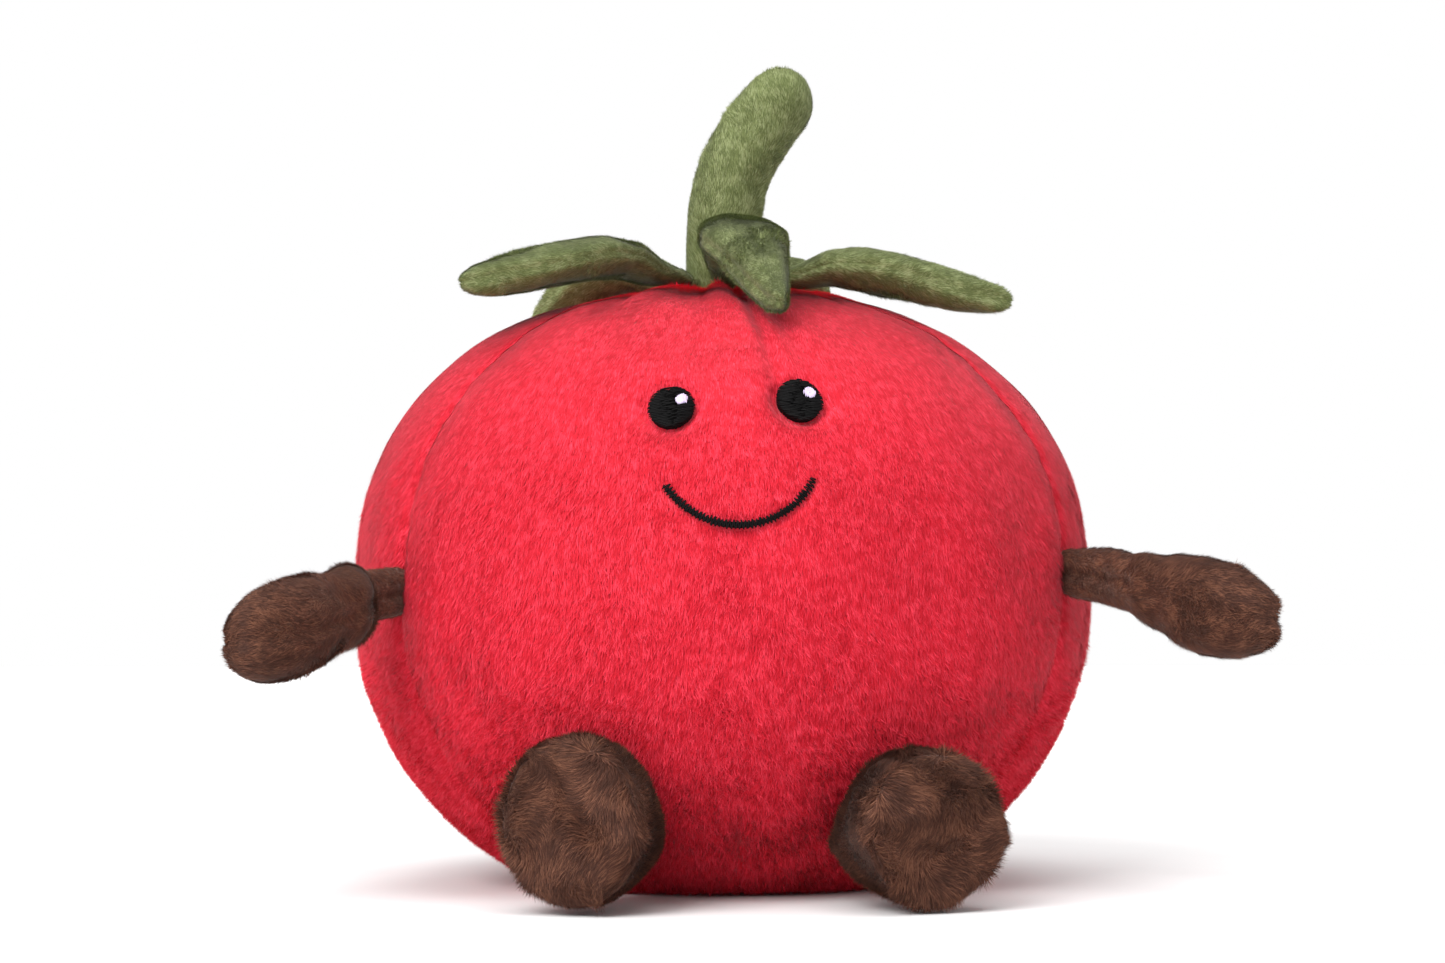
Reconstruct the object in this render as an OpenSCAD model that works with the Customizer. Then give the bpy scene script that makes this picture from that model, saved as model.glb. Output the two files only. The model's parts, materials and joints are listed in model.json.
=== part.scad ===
// Stuffed plush tomato toy. Six cloth gores and a base panel close round a filled core with a
// pellet pouch low inside; a stitched face, two arms, two feet, five leaves and a bent stem.
// Millimetres, +Z up, the face looks along -Y, origin at the centre of the resting face.
// Angles round the toy are counted from the front seam, positive towards +X.

/* [Body] */
// Largest radius of the body
body_r = 92; // [76:1:112]
// Height of the widest ring above the resting face
belt_z = 70; // [58:1:84]
// Height of the crown above the widest ring
crown_h = 78; // [64:1:94]
// Squareness of the crown, where 2 is an ellipse
crown_power = 2.3; // [2:0.1:2.8]
// How far below the floor the lower half would close if the base were not flat
keel_below = 11; // [7:1:16]
// Depth of the hollow that the stem stands in
dimple_depth = 10; // [6:0.5:13]
// Radius of that hollow
dimple_r = 30; // [26:1:38]
// Radius of the round base panel
base_panel_r = 26; // [18:1:30]
// Radius of the hole where the gore tips gather under the stem
gather_r = 2; // [1:0.5:4]

/* [Cloth] */
// Thickness of the body cloth with its pile
skin_t = 2.5; // [2:0.1:3.2]
// Thickness of the limb and leaf cloth with its pile
limb_t = 1.4; // [1:0.1:1.8]
// Depth of the seam allowance turned inside the body
allowance_d = 6; // [4:0.5:8]
// Thickness of one seam allowance at the widest ring
allowance_t = 1.2; // [0.8:0.1:1.6]
// Gap between cloth and filling
fit_gap = 0.25; // [0.15:0.05:0.5]
// Gap between the body and a piece that moves
move_gap = 0.4; // [0.3:0.05:0.8]

/* [Pellet pouch] */
// Radius of the pouch
pouch_r = 40; // [30:1:44]
// Height of the pouch
pouch_h = 24; // [16:1:30]
// Thickness of the pouch cloth
pouch_t = 0.8; // [0.6:0.1:1.2]

/* [Face] */
// Turn of the face away from the front seam
face_turn = -2; // [-8:0.5:8]
// Tilt of the face, positive lifts its +X side
face_tilt = 3; // [-5:0.5:5]
// Angle from the middle of the face to each eye
eye_spread = 10.4; // [9:0.2:15]
// Height of the eyes
eye_z = 112.5; // [104:0.5:118]
// Width of an eye
eye_w = 10.6; // [8:0.2:13]
// Height of an eye
eye_h = 9.5; // [7:0.2:12]
// Diameter of the light spot in an eye
glint_d = 2.4; // [1.6:0.2:3]
// Distance between the ends of the smile
smile_w = 34; // [26:1:40]
// Sag of the smile below its ends
smile_sag = 10; // [7:0.5:13]
// Height of the lowest point of the smile
smile_z = 85; // [78:1:92]
// Width of the stitched smile line
smile_line = 1.7; // [1.2:0.1:2.4]
// Thickness of the embroidery
stitch_t = 1.5; // [1:0.1:1.8]
// Depth of the embroidery below the tips of the pile
stitch_sunk = 0.3; // [0.1:0.1:0.6]

/* [Leaves] */
// Radius at which a leaf hinges
leaf_root_r = 13.5; // [13:0.5:18]
// Height of the leaf roots above the floor of the hollow
leaf_root_rise = 10; // [9:0.5:13]
// Distance of a side leaf's tip from the axis
leaf_reach = 74; // [60:1:84]
// Width of a leaf
leaf_w = 28; // [20:1:30]
// Thickness of a leaf
leaf_h = 12.5; // [9:0.5:13]

/* [Stem] */
// Diameter of the stem
stem_d = 19; // [16:0.5:20]
// Straight length above the hinge point
stem_straight = 11; // [8:1:20]
// Radius of the bend
stem_bend_r = 48; // [40:1:70]
// Angle of the bend
stem_bend = 45; // [20:1:50]

/* [Arms] */
// Seam angle that the arms are sewn at
arm_angle = 60; // [60:1:60]
// Height of the left arm's root
left_arm_z = 70.5; // [62:0.5:80]
// Height of the right arm's root
right_arm_z = 75.5; // [62:0.5:80]
// Forward swing of the left arm at rest
left_arm_swing = 18; // [0:1:25]
// Forward swing of the right arm at rest
right_arm_swing = 0; // [0:1:25]
// Droop of the arms
arm_droop = 13; // [0:1:25]
// Diameter of the arm tube
arm_d = 16; // [12:0.5:18]
// Distance from the sewn edge to the tip of the hand
arm_reach = 47; // [42:1:58]
// Length of the hand
hand_l = 34; // [26:1:36]
// Width of the hand
hand_w = 23; // [19:0.5:26]
// Height of the hand
hand_h = 24.5; // [19:0.5:28]

/* [Feet] */
// Angle of the feet to each side of the front seam
foot_angle = 23.5; // [19:1:30]
// Height on the body at which a leg is sewn
leg_z = 16; // [12:0.5:20]
// Width of the sewn edge
leg_edge_w = 22; // [16:1:26]
// Distance of the sole from the axis
sole_r = 100; // [94:1:110]
// Width of a foot
foot_w = 35; // [28:1:38]
// Height of a foot
foot_h = 39.5; // [32:0.5:44]
// Outward lean of the foot's top
foot_lean = 12; // [0:1:18]
// Thickness of the sole panel
sole_t = 3; // [2:0.25:4]
// Gap between the foot and the floor
foot_floor_gap = 0.5; // [0.2:0.1:1]

/* [Hidden] */
$fn = 48;

GORES = 6;
GORE_ANGLE = 360 / GORES;
keel_h = belt_z + keel_below;
rim_r = 0.72 * body_r;
root_half = 2;
hinge_off = root_half + move_gap;
allowance_a = allowance_t / body_r * 180 / PI;
slot_a = (allowance_t + 1) / body_r * 180 / PI;
allowance_bite = 0.3;
allowance_low = 14;
allowance_high = belt_z + 0.74 * crown_h;
filling_inset = skin_t + fit_gap;
limb_inset = limb_t + fit_gap;
tab_h = 13;
tab_t = 1;
stitch_count = 8;
stitch_pitch = 5;
stitch_r = 0.4;
top_steps = 14;
side_steps = 20;

// Leaves: angle round the toy, reach, droop beyond the ridge, arch above the straight line
LEAVES = [
  [3, leaf_reach - 7, 18, 4],
  [81, leaf_reach, 11, 0],
  [153, leaf_reach - 3, 22, 2],
  [225, leaf_reach - 3, 24, 2],
  [295, leaf_reach, 9, 1]
];

red = "crimson";
green = "darkolivegreen";
brown = "saddlebrown";

// ---- Outline of the body -------------------------------------------------------------------

function unit(v) = v / norm(v);
function sq(x) = x * x;
function smooth(t) = let (c = min(1, max(0, t))) c * c * (3 - 2 * c);
function soft_max(a, b, k) = (a + b + sqrt(sq(a - b) + k * k)) / 2;

function hollow(r) = r < dimple_r ? dimple_depth * (1 + cos(180 * r / dimple_r)) / 2 : 0;
function crown_z(r) =
  belt_z + crown_h * pow(1 - pow(r / body_r, crown_power), 1 / crown_power) - hollow(r);
function crown_slope(r) = (crown_z(r + 0.1) - crown_z(r - 0.1)) / 0.2;
function keel_r(z) = body_r * sqrt(1 - sq((belt_z - z) / keel_h));
function keel_z(r) = belt_z - keel_h * sqrt(max(0, 1 - sq(r / body_r)));
function belt_r(z) = z < belt_z ? keel_r(z)
  : body_r * pow(1 - pow((z - belt_z) / crown_h, crown_power), 1 / crown_power);

top_rs = [for (i = [0:top_steps]) gather_r + (rim_r - gather_r) * i / top_steps];
side_top = acos(pow(rim_r / body_r, crown_power / 2));
side_low = -asin(belt_z / keel_h);
side_as = [for (i = [1:side_steps]) side_top + (side_low - side_top) * i / side_steps];

function side_at(a) = a >= 0
  ? [body_r * pow(cos(a), 2 / crown_power), belt_z + crown_h * pow(sin(a), 2 / crown_power)]
  : [body_r * cos(a), belt_z + keel_h * sin(a)];
function side_out(a) = let (t = side_at(a - 0.2) - side_at(a + 0.2)) unit([-t[1], t[0]]);
function top_out(r) = unit([-crown_slope(r), 1]);

// The whole outline from the gathered tip to the floor, moved outwards by d
function outline(d) = concat(
  [for (r = top_rs) [r, crown_z(r)] + d * top_out(r)],
  [for (a = side_as) side_at(a) + d * side_out(a)]);
function above(line, z) = [for (p = line) if (p[1] > z) p];
function reversed(line) = [for (i = [len(line) - 1:-1:0]) line[i]];

// The outline moved inwards by d and ended at height d above the floor
function inside_line(d) =
  let (line = outline(-d), n = len(above(line, d + 0.001)), p = line[n - 1], q = line[n])
  concat([for (i = [0:n - 1]) line[i]], [p + (q - p) * (d - p[1]) / (q[1] - p[1])]);

// The band between two depths below the surface, over a range of heights
function band(d_out, d_in, low, high) =
  let (base = outline(0), o = outline(-d_out), i = outline(-d_in),
    use = [for (k = [0:len(base) - 1]) if (base[k][1] > low && base[k][1] < high
      && base[k][0] > rim_r / 2) k])
  concat([for (k = use) o[k]], reversed([for (k = use) i[k]]));

// ---- Gores, base and what they hold --------------------------------------------------------

module gore_shell(start) {
  outer = inside_line(0);
  inner = inside_line(skin_t);
  rotate_extrude(angle = GORE_ANGLE, start = start - 90)
    polygon(concat(outer, [[base_panel_r, 0], [base_panel_r, skin_t]], reversed(inner)));
}

module allowance(start) {
  rotate_extrude(angle = allowance_a, start = start - 90)
    polygon(band(skin_t - allowance_bite, skin_t + allowance_d, allowance_low, allowance_high));
}

// One gore, from the seam at angle start, with both its seam allowances
module gore(start) {
  color(red)
    difference() {
      union() {
        gore_face(start);
        allowance(start);
        allowance(start + GORE_ANGLE - allowance_a);
      }
      if (start == -2 * GORE_ANGLE) arm_tab_solid(-1, left_arm_z);
      if (start == GORE_ANGLE) arm_tab_solid(1, right_arm_z);
      if (start == 2 * GORE_ANGLE || start == 3 * GORE_ANGLE) stitches(0.05);
    }
}

// The two front gores have pockets that the embroidery presses into the pile
module gore_face(start) {
  if (start == -GORE_ANGLE || start == 0)
    difference() {
      gore_shell(start);
      intersection() {
        pocket_layer();
        eye_prism(start < 0 ? -1 : 1);
      }
      intersection() {
        pocket_layer();
        smile_prism();
      }
    }
  else
    gore_shell(start);
}

module base_panel() {
  color(red) cylinder(r = base_panel_r, h = skin_t);
}

module filling_slots() {
  for (k = [0:GORES - 1])
    rotate_extrude(angle = 2 * slot_a, start = k * GORE_ANGLE - slot_a - 90)
      polygon(band(skin_t, skin_t + allowance_d + fit_gap, allowance_low - 4, allowance_high + 4));
}

module body_filling() {
  line = inside_line(filling_inset);
  color("ivory")
    difference() {
      rotate_extrude()
        polygon(concat([[0, line[0][1]]], line, [[0, filling_inset]]));
      filling_slots();
      pouch_solid(fit_gap);
    }
}

// The pouch is a flattened round bag that lies just above the base panel
function pouch_line(grow) =
  [for (a = [-90:10:90])
    [(pouch_r + grow) * pow(max(0, cos(a)), 0.7),
     filling_inset + 1 + pouch_h / 2 + (pouch_h / 2 + grow) * sin(a)]];

module pouch_solid(grow) {
  rotate_extrude() polygon(pouch_line(grow));
}

module pellet_pouch() {
  color("wheat")
    difference() {
      pouch_solid(0);
      pouch_solid(-pouch_t);
    }
}

module pellets() {
  color("lightgray") pouch_solid(-pouch_t - fit_gap);
}

// Ladder stitches that close the back seam, through both seam allowances
module stitches(grow) {
  for (i = [0:stitch_count - 1])
    let (z = belt_z - stitch_pitch * (stitch_count - i), y = keel_r(z) - skin_t - allowance_d / 2)
      translate([0, y, z])
        rotate([0, 90, 0])
          cylinder(r = stitch_r + grow, h = 2 * allowance_t + 0.8, center = true);
}

module closing_stitches() {
  color("firebrick") stitches(0);
}

// Tab of the arm's cloth, caught in the side seam on the side gore's side
module arm_tab_solid(side, z) {
  r_in = belt_r(z) - skin_t - allowance_d + 0.5;
  r_out = belt_r(z) - 0.6;
  rotate([0, 0, side * arm_angle])
    translate([side > 0 ? 0 : -tab_t, -r_out, z - tab_h / 2])
      cube([tab_t, r_out - r_in, tab_h]);
}

module arm_tab(side, z) {
  color(brown) arm_tab_solid(side, z);
}

// ---- Face ----------------------------------------------------------------------------------

eye_lift = body_r * sin(eye_spread) * tan(face_tilt);

// A prism of a flat outline, pointing out through the cloth at the given angle
module face_prism(angle, points) {
  rotate([0, 0, angle])
    translate([0, -body_r / 2, 0])
      rotate([90, 0, 0])
        linear_extrude(height = body_r)
          polygon(points);
}

function oval(x, z, w, h) = [for (a = [0:7.5:352.5]) [x + w / 2 * cos(a), z + h / 2 * sin(a)]];

module eye_prism(side) {
  face_prism(face_turn + side * eye_spread, oval(0, eye_z + side * eye_lift, eye_w, eye_h));
}

module glint_prism(side) {
  face_prism(face_turn + side * eye_spread,
    oval(0.22 * eye_w, eye_z + side * eye_lift + 0.17 * eye_h, glint_d, glint_d));
}

smile_r = (sq(smile_w / 2) + sq(smile_sag)) / (2 * smile_sag);
smile_half = asin(smile_w / 2 / smile_r);
function smile_arc(r, turn) =
  [for (k = [-10:10]) let (a = smile_half * k / 10)
    [r * sin(a + turn), smile_z + smile_r - r * cos(a + turn)]];

module smile_prism() {
  face_prism(face_turn, concat(smile_arc(smile_r + smile_line / 2, face_tilt),
    reversed(smile_arc(smile_r - smile_line / 2, face_tilt))));
}

// Layer below the tips of the pile that the embroidery lies in
module face_layer(top, bottom) {
  rotate_extrude(angle = 90, start = -135)
    polygon(band(top, bottom, smile_z - 20, eye_z + 20));
}

module pocket_layer() {
  face_layer(-1, stitch_sunk + stitch_t);
}

module eye(side) {
  color("black")
    difference() {
      intersection() {
        face_layer(stitch_sunk, stitch_sunk + stitch_t);
        eye_prism(side);
      }
      glint_raw(side, -1);
    }
}

module glint_raw(side, top) {
  intersection() {
    face_layer(top, stitch_sunk + stitch_t / 2);
    glint_prism(side);
  }
}

module glint(side) {
  color("lavender") glint_raw(side, stitch_sunk - 0.15);
}

module smile() {
  color("black")
    intersection() {
      face_layer(stitch_sunk, stitch_sunk + stitch_t);
      smile_prism();
    }
}

// ---- Swept cloth and fillings --------------------------------------------------------------
// A station is [x, z, tilt, half width, half height, lean]: x leads away from the root, the
// section stands across the path, tilt raises the path and lean turns the section about it.

function spot(s, p) = let (y = p[0] * cos(s[5]) - p[1] * sin(s[5]),
    h = p[0] * sin(s[5]) + p[1] * cos(s[5]))
  [s[0] - h * sin(s[2]), y, s[1] + h * cos(s[2])];
function ring(s, from, to, k) =
  [for (j = [0:k]) let (a = from + (to - from) * j / k) spot(s, [s[3] * cos(a), s[4] * sin(a)])];
function inset(list, d) = [for (i = [0:len(list) - 1]) let (s = list[i], f = i / len(list) * d)
  [s[0] - f * cos(s[2]), s[1] - f * sin(s[2]), s[2], s[3] - d, s[4] - d, s[5]]];
function end_point(s, d) = [s[0] - d * cos(s[2]), 0, s[1] - d * sin(s[2])];

// Two triangles of a quad whose corners run anticlockwise seen from outside
function quad(a, b, c, d) = [[a, c, b], [a, d, c]];

// Half of a cloth tube: the arc from angle side to side + 180, closed at tip if one is given
module half_skin(list, tip, side, k) {
  m = len(list);
  n = k + 1;
  in_list = inset(list, limb_t);
  points = concat(
    [for (s = list) each ring(s, side, side + 180, k)],
    [for (s = in_list) each ring(s, side, side + 180, k)],
    is_undef(tip) ? [] : [end_point(tip, 0), end_point(tip, limb_t)]);
  o = [for (i = [0:m - 1]) i * n];
  q = [for (i = [0:m - 1]) (m + i) * n];
  tip_o = 2 * m * n;
  tip_q = tip_o + 1;
  walls = [for (i = [0:m - 2], j = [0:k - 1]) each concat(
    quad(o[i] + j, o[i] + j + 1, o[i + 1] + j + 1, o[i + 1] + j),
    quad(q[i] + j, q[i + 1] + j, q[i + 1] + j + 1, q[i] + j + 1))];
  seams = [for (i = [0:m - 2]) each concat(
    quad(o[i], o[i + 1], q[i + 1], q[i]),
    quad(o[i] + k, q[i] + k, q[i + 1] + k, o[i + 1] + k))];
  root = [for (j = [0:k - 1]) each quad(o[0] + j, q[0] + j, q[0] + j + 1, o[0] + j + 1)];
  e = m - 1;
  open_end = [for (j = [0:k - 1]) each quad(o[e] + j, o[e] + j + 1, q[e] + j + 1, q[e] + j)];
  closed_end = concat(
    [for (j = [0:k - 1]) each [[o[e] + j, tip_o, o[e] + j + 1], [q[e] + j, q[e] + j + 1, tip_q]]],
    quad(o[e], tip_o, tip_q, q[e]),
    quad(o[e] + k, q[e] + k, tip_q, tip_o));
  polyhedron(points, concat(walls, seams, root, is_undef(tip) ? open_end : closed_end));
}

// A closed solid through a list of stations, with flat ends
module loft(list, k) {
  m = len(list);
  n = 2 * k;
  points = [for (s = list, j = [0:n - 1]) spot(s, [s[3] * cos(180 * j / k), s[4] * sin(180 * j / k)])];
  walls = [for (i = [0:m - 2], j = [0:n - 1]) let (u = (j + 1) % n)
    each quad(i * n + j, i * n + u, (i + 1) * n + u, (i + 1) * n + j)];
  ends = [for (j = [1:n - 2]) each [[0, j, j + 1], [(m - 1) * n, (m - 1) * n + j + 1, (m - 1) * n + j]]];
  polyhedron(points, concat(walls, ends));
}

module turn_to(angle) {
  rotate([0, 0, angle - 90]) children();
}

// ---- Leaves --------------------------------------------------------------------------------

LEAF_STEPS = [0, 0.1, 0.22, 0.36, 0.5, 0.64, 0.78, 0.89, 0.965];
leaf_k = 6;
leaf_root_z = crown_z(gather_r) + leaf_root_rise;

// Half width and half height of a leaf at share t of its length
function leaf_half_w(t) = leaf_w / 2 * lookup(t,
  [[0, 0.45], [0.1, 0.62], [0.22, 0.84], [0.36, 0.98], [0.5, 1], [0.64, 0.93], [0.78, 0.8],
   [0.89, 0.6], [0.965, 0.34]]);
function leaf_half_h(t) = leaf_h / 2 * lookup(t,
  [[0, 0.4], [0.1, 0.62], [0.22, 0.86], [0.36, 1], [0.64, 1], [0.78, 0.92], [0.89, 0.78],
   [0.965, 0.48]]);

// Height of the leaf's axis so that its underside clears the body, and along its own droop
function leaf_over(r, t) = crown_z(r) + (leaf_half_h(t) + move_gap + 0.3) / cos(atan(crown_slope(r)));
function leaf_path(leaf, t) =
  let (r = leaf_root_r + t * (leaf[1] - leaf_root_r), ridge = dimple_r - 4,
    straight = leaf_over(ridge, 0.36) - (r - ridge) * tan(leaf[2]),
    z = soft_max(leaf_over(r, t), straight, 1) + leaf[3] * sin(180 * min(1, t * 1.2)))
  [r, leaf_root_z + (z - leaf_root_z) * smooth(t / 0.3)];

function leaf_station(leaf, t) =
  let (p = leaf_path(leaf, t), q = leaf_path(leaf, t + 0.02) - leaf_path(leaf, max(0, t - 0.02)))
  [p[0], p[1], t == 0 ? 0 : atan2(q[1], q[0]), leaf_half_w(t), leaf_half_h(t), 0];
function leaf_list(leaf) = concat(
  [[leaf_root_r - 0.7 * root_half, leaf_root_z, 0, leaf_half_w(0), leaf_half_h(0) * 0.75, 0]],
  [for (t = LEAF_STEPS) leaf_station(leaf, t)]);

module leaf_cloth(i, side) {
  color(green)
    turn_to(LEAVES[i][0])
      half_skin(leaf_list(LEAVES[i]), leaf_station(LEAVES[i], 1), side, leaf_k);
}

module leaf_filling(i) {
  color("ivory")
    turn_to(LEAVES[i][0])
      loft([for (s = inset(leaf_list(LEAVES[i]), limb_inset)) if (s[0] > leaf_root_r + 4) s], leaf_k);
}

// ---- Stem ----------------------------------------------------------------------------------

stem_k = 8;
stem_half = stem_d / 2;
stem_root_z = leaf_root_z;

// Station of the stem at distance s beyond the hinge point; x leads up and z towards -X
function stem_station(s, half) = s < stem_straight
  ? [s, 0, 0, half, half, 0]
  : let (a = (s - stem_straight) / stem_bend_r * 180 / PI)
    [stem_straight + stem_bend_r * sin(a), -stem_bend_r * (1 - cos(a)), -a, half, half, 0];
stem_end = stem_straight + stem_bend_r * stem_bend * PI / 180;
function stem_list() = concat(
  [for (a = [-45, -22.5, 0]) [stem_half * sin(a), 0, 0, stem_half * cos(a), stem_half * cos(a), 0]],
  [for (i = [1:6]) stem_station(stem_end * i / 6, stem_half)],
  [for (a = [30, 55, 72]) stem_station(stem_end + stem_half * sin(a), stem_half * cos(a))]);

module stem_place() {
  translate([0, 0, stem_root_z]) rotate([0, -90, 0]) children();
}

module stem_cloth(side) {
  color(green)
    stem_place()
      half_skin(stem_list(), stem_station(stem_end + stem_half, 0), side, stem_k);
}

module stem_filling() {
  color("ivory")
    stem_place()
      loft(inset(stem_list(), limb_inset), stem_k);
}

// ---- Arms ----------------------------------------------------------------------------------

arm_k = 8;
wrist_x = arm_reach - hand_l;
tube = arm_d / 2;

function arm_station(x, half_w, half_h, drop) =
  [x, -max(0, x) * tan(arm_droop) - drop, 0, half_w, half_h, 0];
function hand_station(t) = let (g = pow(sin(t), 0.72))
  arm_station(wrist_x + hand_l * (1 - cos(t)) / 2, hand_w / 2 * g, hand_h / 2 * g, 1.5 * sin(t));
arm_list = concat(
  [arm_station(-0.7 * root_half, 0.7 * root_half + 0.3, 0.72 * tube, 0),
   arm_station(0, root_half + 0.2, 0.84 * tube, 0),
   arm_station(0.35 * wrist_x, 0.62 * tube, 0.95 * tube, 0),
   arm_station(0.75 * wrist_x, 0.95 * tube, tube, 0)],
  [for (t = [45, 65, 90, 115, 138, 158]) hand_station(t)]);
arm_tip = [arm_reach, -arm_reach * tan(arm_droop), -arm_droop, 0, 0, 0];

module arm_place(side, z, swing) {
  angle = side * arm_angle;
  r = belt_r(z) + hinge_off + 0.35;
  translate([r * sin(angle), -r * cos(angle), z])
    turn_to(angle - side * swing)
      children();
}

module arm_cloth(side, z, swing, half) {
  color(brown) arm_place(side, z, swing) half_skin(arm_list, arm_tip, half, arm_k);
}

module arm_filling(side, z, swing) {
  color("ivory")
    arm_place(side, z, swing)
      loft([for (s = inset(arm_list, limb_inset)) if (s[0] > 0.3 * wrist_x) s], arm_k);
}

// ---- Feet ----------------------------------------------------------------------------------

foot_k = 10;
leg_out = unit([keel_r(leg_z) / sq(body_r), (leg_z - belt_z) / sq(keel_h)]);
leg_hinge = [keel_r(leg_z), leg_z] + hinge_off * leg_out;
foot_top = foot_floor_gap + foot_h;

// Station of a foot at share t of the way from its hinge to the sole
function foot_station(t) =
  let (r = leg_hinge[0] + t * (sole_r - leg_hinge[0]),
    low = foot_floor_gap + (leg_hinge[1] - root_half - foot_floor_gap) * pow(1 - t, 3),
    high = min(foot_top, keel_z(min(body_r - 0.1, r - move_gap - 1.2))),
    top = r - move_gap - 1.2 > body_r - 0.2 ? foot_top : high,
    wide = leg_edge_w / 2 + (foot_w - leg_edge_w) / 2 * sin(90 * min(1, 1.25 * t)))
  [r, (top + low) / 2, 0, wide, (top - low) / 2, foot_lean * smooth((t - 0.3) / 0.6)];
foot_list = concat(
  [[leg_hinge[0] - 0.7 * root_half, leg_hinge[1], 0, leg_edge_w / 2, 0.8 * root_half, 0]],
  [for (t = [0.12, 0.28, 0.46, 0.64, 0.82, 1]) foot_station(t)]);

module foot_cloth(side, half) {
  color(brown) turn_to(side * foot_angle) half_skin(foot_list, undef, half, foot_k);
}

module foot_filling(side) {
  color("ivory")
    turn_to(side * foot_angle)
      loft([for (s = inset(foot_list, limb_inset)) if (s[0] > leg_hinge[0] + 2) s], foot_k);
}

// The oval sole closes the front of the foot and is a little domed
module foot_sole(side) {
  end = foot_list[len(foot_list) - 1];
  color(brown)
    turn_to(side * foot_angle)
      loft([for (d = [[0, 0], [0.6, 0.2], [1, 3.2]])
        [end[0] + d[0] * sole_t, end[1], 0, end[3] - d[1], end[4] - d[1], end[5]]], foot_k);
}

// ---- Drawing -------------------------------------------------------------------------------

base_panel();
gore(-GORE_ANGLE);  // front_left_gore
gore(0);  // front_right_gore
gore(GORE_ANGLE);  // side_right_gore
gore(2 * GORE_ANGLE);  // back_right_gore
gore(3 * GORE_ANGLE);  // back_left_gore
gore(-2 * GORE_ANGLE);  // side_left_gore
body_filling();
pellet_pouch();
pellets();
eye(-1);  // left_eye
eye(1);  // right_eye
glint(-1);  // left_glint
glint(1);  // right_glint
smile();
closing_stitches();
arm_tab(-1, left_arm_z);  // left_arm_tab
arm_tab(1, right_arm_z);  // right_arm_tab
arm_cloth(-1, left_arm_z, left_arm_swing, 0);  // left_arm_upper
arm_cloth(-1, left_arm_z, left_arm_swing, 180);  // left_arm_lower
arm_filling(-1, left_arm_z, left_arm_swing);  // left_arm_filling
arm_cloth(1, right_arm_z, right_arm_swing, 0);  // right_arm_upper
arm_cloth(1, right_arm_z, right_arm_swing, 180);  // right_arm_lower
arm_filling(1, right_arm_z, right_arm_swing);  // right_arm_filling
foot_cloth(-1, -90);  // left_foot_outer
foot_cloth(-1, 90);  // left_foot_inner
foot_sole(-1);  // left_foot_sole
foot_filling(-1);  // left_foot_filling
foot_cloth(1, 90);  // right_foot_outer
foot_cloth(1, -90);  // right_foot_inner
foot_sole(1);  // right_foot_sole
foot_filling(1);  // right_foot_filling
leaf_cloth(0, 0);  // front_leaf_top
leaf_cloth(0, 180);  // front_leaf_under
leaf_filling(0);  // front_leaf_filling
leaf_cloth(1, 0);  // right_leaf_top
leaf_cloth(1, 180);  // right_leaf_under
leaf_filling(1);  // right_leaf_filling
leaf_cloth(2, 0);  // back_right_leaf_top
leaf_cloth(2, 180);  // back_right_leaf_under
leaf_filling(2);  // back_right_leaf_filling
leaf_cloth(3, 0);  // back_left_leaf_top
leaf_cloth(3, 180);  // back_left_leaf_under
leaf_filling(3);  // back_left_leaf_filling
leaf_cloth(4, 0);  // left_leaf_top
leaf_cloth(4, 180);  // left_leaf_under
leaf_filling(4);  // left_leaf_filling
stem_cloth(90);  // stem_front
stem_cloth(-90);  // stem_back
stem_filling();
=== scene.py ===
import json
import math

import bmesh
import bpy
import numpy as np
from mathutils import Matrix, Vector, noise
from mathutils.bvhtree import BVHTree


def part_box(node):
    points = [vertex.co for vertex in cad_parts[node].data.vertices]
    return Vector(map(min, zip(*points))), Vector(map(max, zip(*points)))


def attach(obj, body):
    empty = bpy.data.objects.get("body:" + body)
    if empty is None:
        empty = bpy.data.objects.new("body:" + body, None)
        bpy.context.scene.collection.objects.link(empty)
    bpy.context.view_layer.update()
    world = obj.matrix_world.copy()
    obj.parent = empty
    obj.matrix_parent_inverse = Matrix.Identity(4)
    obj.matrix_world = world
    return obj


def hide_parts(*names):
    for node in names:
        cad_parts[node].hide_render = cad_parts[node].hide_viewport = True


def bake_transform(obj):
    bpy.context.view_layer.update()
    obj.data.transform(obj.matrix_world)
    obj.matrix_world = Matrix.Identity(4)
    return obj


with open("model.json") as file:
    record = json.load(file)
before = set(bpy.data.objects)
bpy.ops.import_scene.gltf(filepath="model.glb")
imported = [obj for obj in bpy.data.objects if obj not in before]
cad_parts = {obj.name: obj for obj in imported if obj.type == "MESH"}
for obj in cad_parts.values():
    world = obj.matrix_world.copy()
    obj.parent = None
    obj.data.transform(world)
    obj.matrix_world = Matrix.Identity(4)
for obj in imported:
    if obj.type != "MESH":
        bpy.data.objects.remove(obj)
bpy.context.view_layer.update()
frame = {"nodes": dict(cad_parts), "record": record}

MM = 0.001
scene = bpy.context.scene

# ---- The toy's own layout, read from the frame ---------------------------------------------

GORES = ["front_right", "side_right", "back_right", "back_left", "side_left", "front_left"]
GORE_NODES = [g + "_gore" for g in GORES]
INSIDE_NODES = ["body_filling", "pellet_pouch", "pellets", "closing_stitches",
                "left_arm_tab", "right_arm_tab"]
LEAVES = ["front_leaf", "right_leaf", "back_right_leaf", "back_left_leaf", "left_leaf"]
JOINTS = {j["child"]: j for j in frame["record"]["behaviour"]["joints"]}
BODY_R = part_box("side_right_gore")[1][0]
BODY_TOP = max(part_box(n)[1][2] for n in GORE_NODES)
HEART = Vector((0, 0, 0.48 * BODY_TOP))
EYES = [(Vector(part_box(n)[0]) + Vector(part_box(n)[1])) / 2 for n in ("left_eye", "right_eye")]


def hinge(body):
    return Vector(JOINTS[body]["pos_m"])


# ---- Small helpers --------------------------------------------------------------------------

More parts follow.
